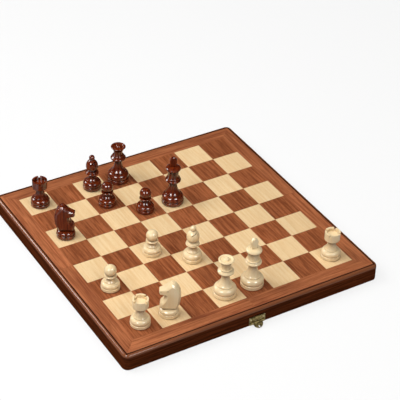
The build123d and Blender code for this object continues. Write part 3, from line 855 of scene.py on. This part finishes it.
@dataclass(frozen=True)
class ButtHinges(Assembly):
    """Two brass butt hinges under the seam, with a countersunk slotted screw in each hole."""

    hinge_x: float = 110.0
    screw_pitch: float = 18.0
    leaf_y: float = 5.35
    face_z: float = 1.54
    head_r: float = 1.62
    head_h: float = 0.76
    shank_r: float = 0.82
    shank_l: float = 5.0
    slot_w: float = 0.5
    slot_depth: float = 0.4
    head_round: float = 0.07
    tip_share: float = 0.2
    tip_narrow: float = 0.2
    slot_turns: tuple[float, ...] = (12.0, 71.0, 35.0, 98.0, 54.0, 20.0, 83.0, 41.0)

    @property
    def finishes(self) -> dict[str, Finish]:
        """Brass on the leaves and steel on the pins."""
        return {f"{half.label}_hinge_leaves": BRASS for half in Half} | {"hinge_pins": STEEL}

    def model_screw(self) -> Piece:
        """Model one screw with its head's face down at the origin.

        Returns:
            The screw.
        """
        sizes = {"radius": self.head_r * MM, "depth": self.head_h * MM}
        screw = start_piece(bpy.ops.mesh.primitive_cylinder_add, "hinge_screw", vertices=40, **sizes)
        top = Vector((0, 0, self.head_h / 2)) * MM
        select_faces(screw, lambda face: face.normal.z > LOOKS)
        neck = self.shank_r / self.head_r
        stretch((neck, neck, 1.0), top)
        extrude(Vector((0, 0, (1 - self.tip_share) * self.shank_l * MM)))
        extrude(Vector((0, 0, self.tip_share * self.shank_l * MM)))
        stretch((self.tip_narrow, self.tip_narrow, 1.0), top)
        select_faces(screw, lambda face: face.normal.z < -LOOKS)
        bpy.ops.mesh.bevel(offset=self.head_round * MM, segments=2)
        end_piece(screw, smooth_to=40.0)
        slot = start_piece(bpy.ops.mesh.primitive_cube_add, "slot", size=1.0)
        stretch((3 * self.head_r * MM, self.slot_w * MM, 2 * self.slot_depth * MM))
        bpy.ops.transform.translate(value=(0, 0, -self.head_h / 2 * MM))
        end_piece(slot, smooth_to=40.0)
        carve(screw, slot)
        screw.data.transform(Matrix.Translation((0, 0, self.head_h / 2 * MM)))
        return screw

    def build(self, nodes: Nodes) -> list[Piece]:
        """Drive a screw into every hole of the leaves.

        Args:
            nodes: the CAD nodes by name; not used.

        Returns:
            The screws.
        """
        master = self.model_screw()
        turns = iter(self.slot_turns)
        screws = []
        for half in Half:
            holes = (-self.screw_pitch / 2, self.screw_pitch / 2)
            across = [hinge + hole for hinge in (-self.hinge_x, self.hinge_x) for hole in holes]
            for number, x in enumerate(across, 1):
                place = Matrix.Translation(Vector((x, half.value * self.leaf_y, self.face_z)) * MM)
                turned = place @ Matrix.Rotation(math.radians(next(turns)), 4, "Z")
                screw = copy_piece(master, f"{half.label}_hinge_screw_{number}", turned)
                BRASS.put_on(screw)
                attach(screw, half.body)
                screws.append(screw)
        bpy.data.objects.remove(master)
        return screws


@dataclass(frozen=True)
class BoxLatch(Assembly):
    """The bronzed latch and its keeper, held by round-headed nails."""

    plate_face_y: float = 185.95
    nail_x: float = 9.0
    latch_nail_z: float = 10.1
    keeper_nail_z: float = 7.65
    head_r: float = 1.0
    head_rise: float = 0.42
    shank_r: float = 0.44
    shank_l: float = 4.0
    tip_narrow: float = 0.3

    @property
    def finishes(self) -> dict[str, Finish]:
        """Bronzed finish on the plates and tongue, and steel on the pin."""
        bronzed = ("latch_plate", "latch_tongue", "keeper_plate")
        return dict.fromkeys(bronzed, BRONZED_STEEL) | {"latch_pin": STEEL}

    def model_nail(self) -> Piece:
        """Model one nail, head up, with the underside of its head at the origin.

        Returns:
            The nail.
        """
        sizes = {"segments": 28, "ring_count": 14, "radius": self.head_r * MM}
        nail = start_piece(bpy.ops.mesh.primitive_uv_sphere_add, "latch_nail", **sizes)
        bpy.ops.mesh.bisect(plane_co=ORIGIN, plane_no=(0, 0, 1), clear_inner=True, use_fill=True)
        bpy.ops.mesh.select_all(action="SELECT")
        stretch((1, 1, self.head_rise / self.head_r))
        select_faces(nail, lambda face: face.normal.z < -LOOKS)
        bpy.ops.mesh.inset(thickness=(self.head_r - self.shank_r) * MM)
        extrude(Vector((0, 0, -self.shank_l * MM)))
        stretch((self.tip_narrow, self.tip_narrow, 1.0))
        return end_piece(nail, smooth_to=50.0)

    def build(self, nodes: Nodes) -> list[Piece]:
        """Drive two nails through each plate.

        Args:
            nodes: the CAD nodes by name; not used.

        Returns:
            The nails.
        """
        master = self.model_nail()
        nails = []
        for half, label, z in (
            (Half.NEAR, "latch", self.latch_nail_z),
            (Half.FAR, "keeper", self.keeper_nail_z),
        ):
            outwards = Matrix.Rotation(-half.value * math.pi / 2, 4, "X")
            for number, x in enumerate((-self.nail_x, self.nail_x), 1):
                place = Matrix.Translation(Vector((x, half.value * self.plate_face_y, z)) * MM)
                nail = copy_piece(master, f"{label}_nail_{number}", place @ outwards)
                BRONZED_STEEL.put_on(nail)
                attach(nail, half.body)
                nails.append(nail)
        bpy.data.objects.remove(master)
        return nails


@dataclass(frozen=True)
class Man(Assembly):
    """A turned man and the felt disc under its base."""

    name: str
    press: float = 0.16
    fray: float = 0.05
    rings: tuple[float, ...] = (0.35, 0.3, 0.2)

    @property
    def side(self) -> Side:
        """Side that the man plays for."""
        return Side(self.name.split("_")[0])

    @property
    def lacquer(self) -> Finish:
        """Wood and lacquer of the man's side."""
        return BOXWOOD if self.side is Side.WHITE else DYED_BOXWOOD

    @property
    def under(self) -> str:
        """Node that the felt is glued to."""
        return self.name

    @property
    def finishes(self) -> dict[str, Finish]:
        """Lacquer on what is turned."""
        return {self.under: self.lacquer}

    @property
    def felt_size(self) -> Vector:
        """Width, depth and thickness of the felt, in metres."""
        low, high = (Vector(corner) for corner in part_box(f"{self.name}_felt"))
        return high - low

    @property
    def seat(self) -> Vector:
        """Middle of the felt's underside, on the board's face."""
        low = Vector(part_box(f"{self.name}_felt")[0])
        return low + Vector((self.felt_size.x / 2, self.felt_size.y / 2, 0))

    def build(self, nodes: Nodes) -> list[Piece]:
        """Cut and press the felt disc.

        Args:
            nodes: the CAD nodes by name; not used.

        Returns:
            The felt.
        """
        radius, thick = self.felt_size.x / 2, self.felt_size.z
        sizes = {"vertices": 72, "radius": radius - 2 * self.fray * MM, "depth": thick}
        felt = start_piece(bpy.ops.mesh.primitive_cylinder_add, f"{self.name}_felt_disc", **sizes)
        select_faces(felt, lambda face: face.normal.z < -LOOKS)
        bpy.ops.mesh.bevel(offset=self.press * MM, segments=3)
        for share in self.rings:
            select_faces(felt, lambda face: face.normal.z < -LOOKS and len(face.verts) > 4)
            bpy.ops.mesh.inset(thickness=share * radius)
        select_faces(felt, lambda face: abs(face.normal.z) < LOOKS)
        bpy.ops.transform.vertex_random(offset=self.fray * MM, seed=len(self.name))
        end_piece(felt, smooth_to=60.0)
        felt.data.transform(Matrix.Translation(self.seat + Vector((0, 0, thick / 2))))
        FELT.put_on(felt)
        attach(felt, self.name)
        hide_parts(f"{self.name}_felt")
        return [felt]


@dataclass(frozen=True)
class Knight(Man):
    """A knight: a turned base and a head that is carved from the sawn slab."""

    facing: float = 0.0
    seat_h: float = 11.0
    slab_t: float = 14.0
    arris: float = 2.8
    cheek_out: float = 2.6
    nose_out: float = 12.3
    muzzle_thin: float = 2.8
    ear: tuple[float, float] = (-2.8, 38.4)
    crest: tuple[float, float] = (-10.4, 33.2)
    mane: tuple[float, float] = (-14.2, 20.0)
    heel: tuple[float, float] = (-9.4, 0.0)
    crest_bow: float = 0.96
    mane_bow: float = 0.97
    back_bow: float = 1.22
    eye: tuple[float, float] = (2.6, 28.6)
    eye_r: float = 1.05
    eye_rim: float = 0.36
    eye_stretch: tuple[float, float, float] = (1.25, 0.95, 1.0)
    nostril: tuple[float, float] = (10.4, 25.6)
    nostril_r: float = 0.6
    nostril_stretch: tuple[float, float, float] = (1.5, 0.9, 0.9)
    mouth: tuple[float, float] = (12.8, 23.9)
    mouth_w: float = 0.4
    mouth_l: float = 4.0
    mouth_tilt: float = 8.0
    ear_lift: float = 0.5
    ear_gap: float = 1.5
    ear_depth: float = 2.2
    ear_l: float = 4.2
    lock_w: float = 0.35
    lock_depth: float = 0.4
    lock_l: float = 1.9
    lock_slant: float = 24.0
    crest_locks: tuple[float, ...] = (0.4, 0.75)
    mane_locks: tuple[float, ...] = (0.1, 0.3, 0.5, 0.7, 0.9)
    back_locks: tuple[float, ...] = (0.07, 0.22, 0.37)
    weld: float = 0.002
    grit: float = 0.24

    @property
    def under(self) -> str:
        """Node that the felt is glued to."""
        return f"{self.name}_base"

    @property
    def bench(self) -> Matrix:
        """The carver's bench: millimetres, X forward, Y to the horse's left, Z up from the base's top."""
        seat = Matrix.Translation(self.seat + Vector((0, 0, self.seat_h * MM)))
        return seat @ Matrix.Rotation(math.radians(self.facing), 4, "Z") @ Matrix.Scale(MM, 4)

    def cheek(self, out: float) -> float:
        """Half the slab's thickness at a distance forward, in millimetres."""
        past = max(0.0, out - self.cheek_out) / (self.nose_out - self.cheek_out)
        return self.slab_t / 2 - self.muzzle_thin * past

    def chisel(self, name: str, place: Matrix, half: tuple[float, float, float]) -> Piece:
        """Make a diamond-shaped cutter that leaves a V along its own Z.

        Args:
            name: the cutter's name.
            place: its place and direction.
            half: half its width, depth and length, in millimetres.

        Returns:
            The cutter.
        """
        cutter = start_piece(bpy.ops.mesh.primitive_cylinder_add, name, vertices=4, radius=1.0, depth=2.0)
        stretch(half)
        end_piece(cutter, smooth_to=30.0)
        cutter.data.transform(place)
        return cutter

    def locks(self) -> list[Piece]:
        """Set out the cuts of the mane along both bevels of the horse's back.

        Returns:
            The cutters.
        """
        runs = (
            (Vector(self.ear), Vector(self.crest), self.crest_bow, self.crest_locks),
            (Vector(self.crest), Vector(self.mane), self.mane_bow, self.mane_locks),
            (Vector(self.mane), Vector(self.heel), self.back_bow, self.back_locks),
        )
        backward = Vector((-1.0, 0.0))
        edge = self.slab_t / 2 - self.arris / 2
        half = (self.lock_depth, self.lock_w, self.lock_l)
        cutters = []
        for start, end, bow, shares in runs:
            chord = end - start
            out = backward - chord * (backward.dot(chord) / chord.length_squared)
            out.normalize()
            lean = math.atan2(out.y, out.x)
            for share in shares:
                point = start.lerp(end, share) + out * (4 * bow * share * (1 - share))
                inner = point - out * (self.arris / 2)
                for left in (-1, 1):
                    spot = Matrix.Translation((inner.x, left * edge, inner.y))
                    leant = spot @ Matrix.Rotation(-lean, 4, "Y")
                    turned = leant @ Matrix.Rotation(left * math.pi / 4, 4, "Z")
                    swept = turned @ Matrix.Rotation(math.radians(left * self.lock_slant), 4, "X")
                    across = swept @ Matrix.Rotation(math.pi / 2, 4, "X")
                    cutters.append(self.chisel("lock_cut", across, half))
        return cutters

    def features(self) -> list[Piece]:
        """Set out the eyes, nostrils, mouth and the gap between the ears.

        Returns:
            The cutters.
        """
        cutters = []
        for left in (-1, 1):
            ring = {"major_radius": self.eye_r, "minor_radius": self.eye_rim}
            mesh = {"major_segments": 32, "minor_segments": 12}
            eye = start_piece(bpy.ops.mesh.primitive_torus_add, "eye_cut", **ring, **mesh)
            stretch(self.eye_stretch)
            end_piece(eye, smooth_to=60.0)
            out, height = self.eye
            spot = Matrix.Translation((out, left * self.cheek(out), height))
            eye.data.transform(spot @ Matrix.Rotation(math.pi / 2, 4, "X"))
            ball = {"segments": 20, "ring_count": 10, "radius": self.nostril_r}
            nostril = start_piece(bpy.ops.mesh.primitive_uv_sphere_add, "nostril_cut", **ball)
            stretch(self.nostril_stretch)
            end_piece(nostril, smooth_to=60.0)
            out, height = self.nostril
            nostril.data.transform(Matrix.Translation((out, left * self.cheek(out), height)))
            cutters += [eye, nostril]
        out, height = self.mouth
        slit = Matrix.Translation((out, 0, height)) @ Matrix.Rotation(math.radians(-self.mouth_tilt), 4, "Y")
        across = slit @ Matrix.Rotation(math.pi / 2, 4, "X")
        cutters.append(self.chisel("mouth_cut", across, (self.mouth_l, self.mouth_w, self.slab_t)))
        out, height = self.ear
        ears = Matrix.Translation((out, 0, height + self.ear_lift)) @ Matrix.Rotation(math.pi / 2, 4, "Y")
        cutters.append(self.chisel("ear_cut", ears, (self.ear_depth, self.ear_gap, self.ear_l)))
        return cutters

    def build(self, nodes: Nodes) -> list[Piece]:
        """Carve the head from a copy of the sawn slab, and cut the felt.

        Args:
            nodes: the CAD nodes by name.

        Returns:
            The felt and the carved head.
        """
        on_bench = self.bench.inverted()
        head = copy_piece(nodes[f"{self.name}_head"], f"{self.name}_carved_head", on_bench)
        bpy.ops.object.select_all(action="DESELECT")
        head.select_set(True)
        bpy.context.view_layer.objects.active = head
        bpy.ops.mesh.customdata_custom_splitnormals_clear()
        bpy.ops.object.mode_set(mode="EDIT")
        bpy.ops.mesh.select_all(action="SELECT")
        bpy.ops.mesh.remove_doubles(threshold=self.weld)
        end_piece(head, smooth_to=180.0)
        for cutter in (*self.features(), *self.locks()):
            carve(head, cutter)
        apply_modifier(head, "REMESH", mode="VOXEL", voxel_size=self.grit, use_smooth_shade=True)
        apply_modifier(head, "SMOOTH", factor=0.5, iterations=4)
        head.data.transform(self.bench)
        self.lacquer.put_on(head)
        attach(head, self.name)
        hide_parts(f"{self.name}_head")
        return [*super().build(nodes), head]


# Studio


@dataclass(frozen=True)
class Softbox:
    """A square lamp aimed at the board."""

    name: str
    place: tuple[float, float, float]
    size: float
    power: float
    shows: Shows
    aim: tuple[float, float, float] = (0.0, 0.0, 0.03)

    def hang(self) -> None:
        """Hang the lamp and point it."""
        lamp = bpy.data.lights.new(self.name, "AREA")
        lamp.shape, lamp.size, lamp.energy = "SQUARE", self.size, self.power
        stand = bpy.data.objects.new(self.name, lamp)
        stand.location = self.place
        stand.visible_diffuse = self.shows is Shows.SHADE
        stand.visible_glossy = self.shows is Shows.GLOSS
        stand.rotation_euler = (Vector(self.aim) - Vector(self.place)).to_track_quat("-Z", "Y").to_euler()
        bpy.context.scene.collection.objects.link(stand)


@dataclass(frozen=True)
class Studio:
    """White sweep, soft lamps and the camera."""

    paper: str = "FBFBFA"
    white: str = "FFFFFF"
    fill: str = "6E6E6E"
    bounce: str = "B4B4B4"
    far_sweep: str = "585858"
    ceiling: str = "242424"
    floor_half: float = 4.0
    floor_share: float = 0.22
    table_edge: tuple[float, float] = (-0.5, -0.05)
    sweep_edge: tuple[float, float] = (-0.4, 0.3)
    camera_place: tuple[float, float, float] = (-0.82352896, -1.3586541, 1.2247604)
    camera_turn: tuple[float, float, float] = (54.0299559, -1.81646294, -30.69931748)
    lens: float = 136.282895
    sensor_w: float = 36.0
    clip: tuple[float, float] = (0.05, 50.0)
    softboxes: tuple[Softbox, ...] = (
        Softbox("key_softbox", (-1.0, 0.6, 1.5), 0.9, 18.0, Shows.SHADE),
        Softbox("top_softbox", (-0.1, 0.0, 1.9), 1.4, 9.5, Shows.SHADE),
        Softbox("side_softbox", (-1.5, -0.4, 1.5), 0.7, 10.0, Shows.SHADE),
        Softbox("front_softbox", (0.0, -1.6, 1.6), 0.7, 9.0, Shows.SHADE),
        Softbox("left_highlight", (-1.62, -0.85, 1.35), 0.85, 44.0, Shows.GLOSS),
        Softbox("front_highlight", (0.25, -1.85, 1.4), 0.85, 36.0, Shows.GLOSS),
        Softbox("edge_highlight", (-0.95, 1.35, 1.03), 0.6, 14.0, Shows.GLOSS),
    )

    def lay_floor(self) -> None:
        """Lay a pale floor that takes a light shadow and lets the white behind it show through."""
        floor = start_piece(bpy.ops.mesh.primitive_plane_add, "studio_floor", size=2 * self.floor_half)
        end_piece(floor, smooth_to=30.0)
        paper = bpy.data.materials.new("white_paper_sweep")
        paper.use_nodes = True
        tree = paper.node_tree
        tree.nodes.clear()
        clear = add_node(tree, "BsdfTransparent")[0]
        white = add_node(tree, "BsdfDiffuse", {"Color": linear(self.paper)})[0]
        from_below = add_node(tree, "NewGeometry")["Backfacing"]
        shares = {"Value": from_below, "To Min": self.floor_share, "To Max": 0.0}
        share = add_node(tree, "MapRange", shares)[0]
        mixed = add_node(tree, "MixShader", {0: share, 1: clear, 2: white})[0]
        add_node(tree, "OutputMaterial", {"Surface": mixed})
        floor.data.materials.append(paper)

    def paint_world(self) -> None:
        """Make the world white to the eye, and in gloss white in front and below, and dim behind and above.

        The shade takes a soft fill from above and the white table's bounce from below.
        """
        world = bpy.data.worlds.new("white_studio")
        bpy.context.scene.world = world
        world.use_nodes = True
        tree = world.node_tree
        rays = add_node(tree, "LightPath")
        towards = add_node(tree, "TexCoord")["Generated"]
        _, back, up = add_node(tree, "SeparateXYZ", {0: towards})
        low, high = self.table_edge
        above = add_node(tree, "MapRange", {"Value": up, "From Min": low, "From Max": high})[0]
        low, high = self.sweep_edge
        behind = add_node(tree, "MapRange", {"Value": back, "From Min": low, "From Max": high})[0]
        tones = {0: behind, COLOUR_A: linear(self.white), COLOUR_B: linear(self.far_sweep)}
        sweep = add_node(tree, "Mix", tones, data_type="RGBA")[COLOUR_OUT]
        tones = {0: above, COLOUR_A: sweep, COLOUR_B: linear(self.ceiling)}
        room = add_node(tree, "Mix", tones, data_type="RGBA")[COLOUR_OUT]
        tones = {0: above, COLOUR_A: linear(self.bounce), COLOUR_B: linear(self.fill)}
        shade = add_node(tree, "Mix", tones, data_type="RGBA")[COLOUR_OUT]
        tones = {0: rays["Is Glossy Ray"], COLOUR_A: shade, COLOUR_B: room}
        gloss = add_node(tree, "Mix", tones, data_type="RGBA")[COLOUR_OUT]
        kinds = {0: rays["Is Camera Ray"], 1: rays["Is Transmission Ray"]}
        seen = add_node(tree, "Math", kinds, operation="MAXIMUM")[0]
        tones = {0: seen, COLOUR_A: gloss, COLOUR_B: linear(self.white)}
        colour = add_node(tree, "Mix", tones, data_type="RGBA")[COLOUR_OUT]
        tree.links.new(colour, tree.nodes["Background"].inputs["Color"])

    def set_camera(self) -> None:
        """Stand the camera where the photograph was taken."""
        camera = bpy.data.cameras.new("camera")
        camera.lens, camera.sensor_width, camera.sensor_fit = self.lens, self.sensor_w, "HORIZONTAL"
        camera.clip_start, camera.clip_end = self.clip
        stand = bpy.data.objects.new("camera", camera)
        stand.location = self.camera_place
        stand.rotation_euler = Euler([math.radians(angle) for angle in self.camera_turn], "XYZ")
        bpy.context.scene.collection.objects.link(stand)
        bpy.context.scene.camera = stand

    def set_up(self) -> None:
        """Lay, light and frame the scene."""
        self.lay_floor()
        self.paint_world()
        for softbox in self.softboxes:
            softbox.hang()
        self.set_camera()
        bpy.context.scene.view_settings.view_transform = "Standard"


def men_on(nodes: Nodes) -> list[Man]:
    """Set up every man that stands on the board.

    Args:
        nodes: the CAD nodes by name.

    Returns:
        The men.
    """
    facing = {"white_knight": 149.0, "dark_knight": -31.0}
    names = [name.removesuffix("_felt") for name in nodes if name.endswith("_felt")]
    return [Knight(name, facing=facing[name]) if name in facing else Man(name) for name in names]


def main() -> None:
    """Build and dress the chess set, one sub-assembly after another."""
    logging.basicConfig(level=logging.INFO, format="%(name)s: %(message)s")
    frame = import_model()
    set_parts = [TrayHalf(Half.NEAR), TrayHalf(Half.FAR), ButtHinges(), BoxLatch(), *men_on(frame["nodes"])]
    for part in set_parts:
        for piece in part.build(frame["nodes"]):
            log.info("built %s", piece.name)
        for piece in part.dress(frame["nodes"]):
            log.info("dressed %s", piece.name)
    Studio().set_up()


if __name__ == "__main__":
    main()
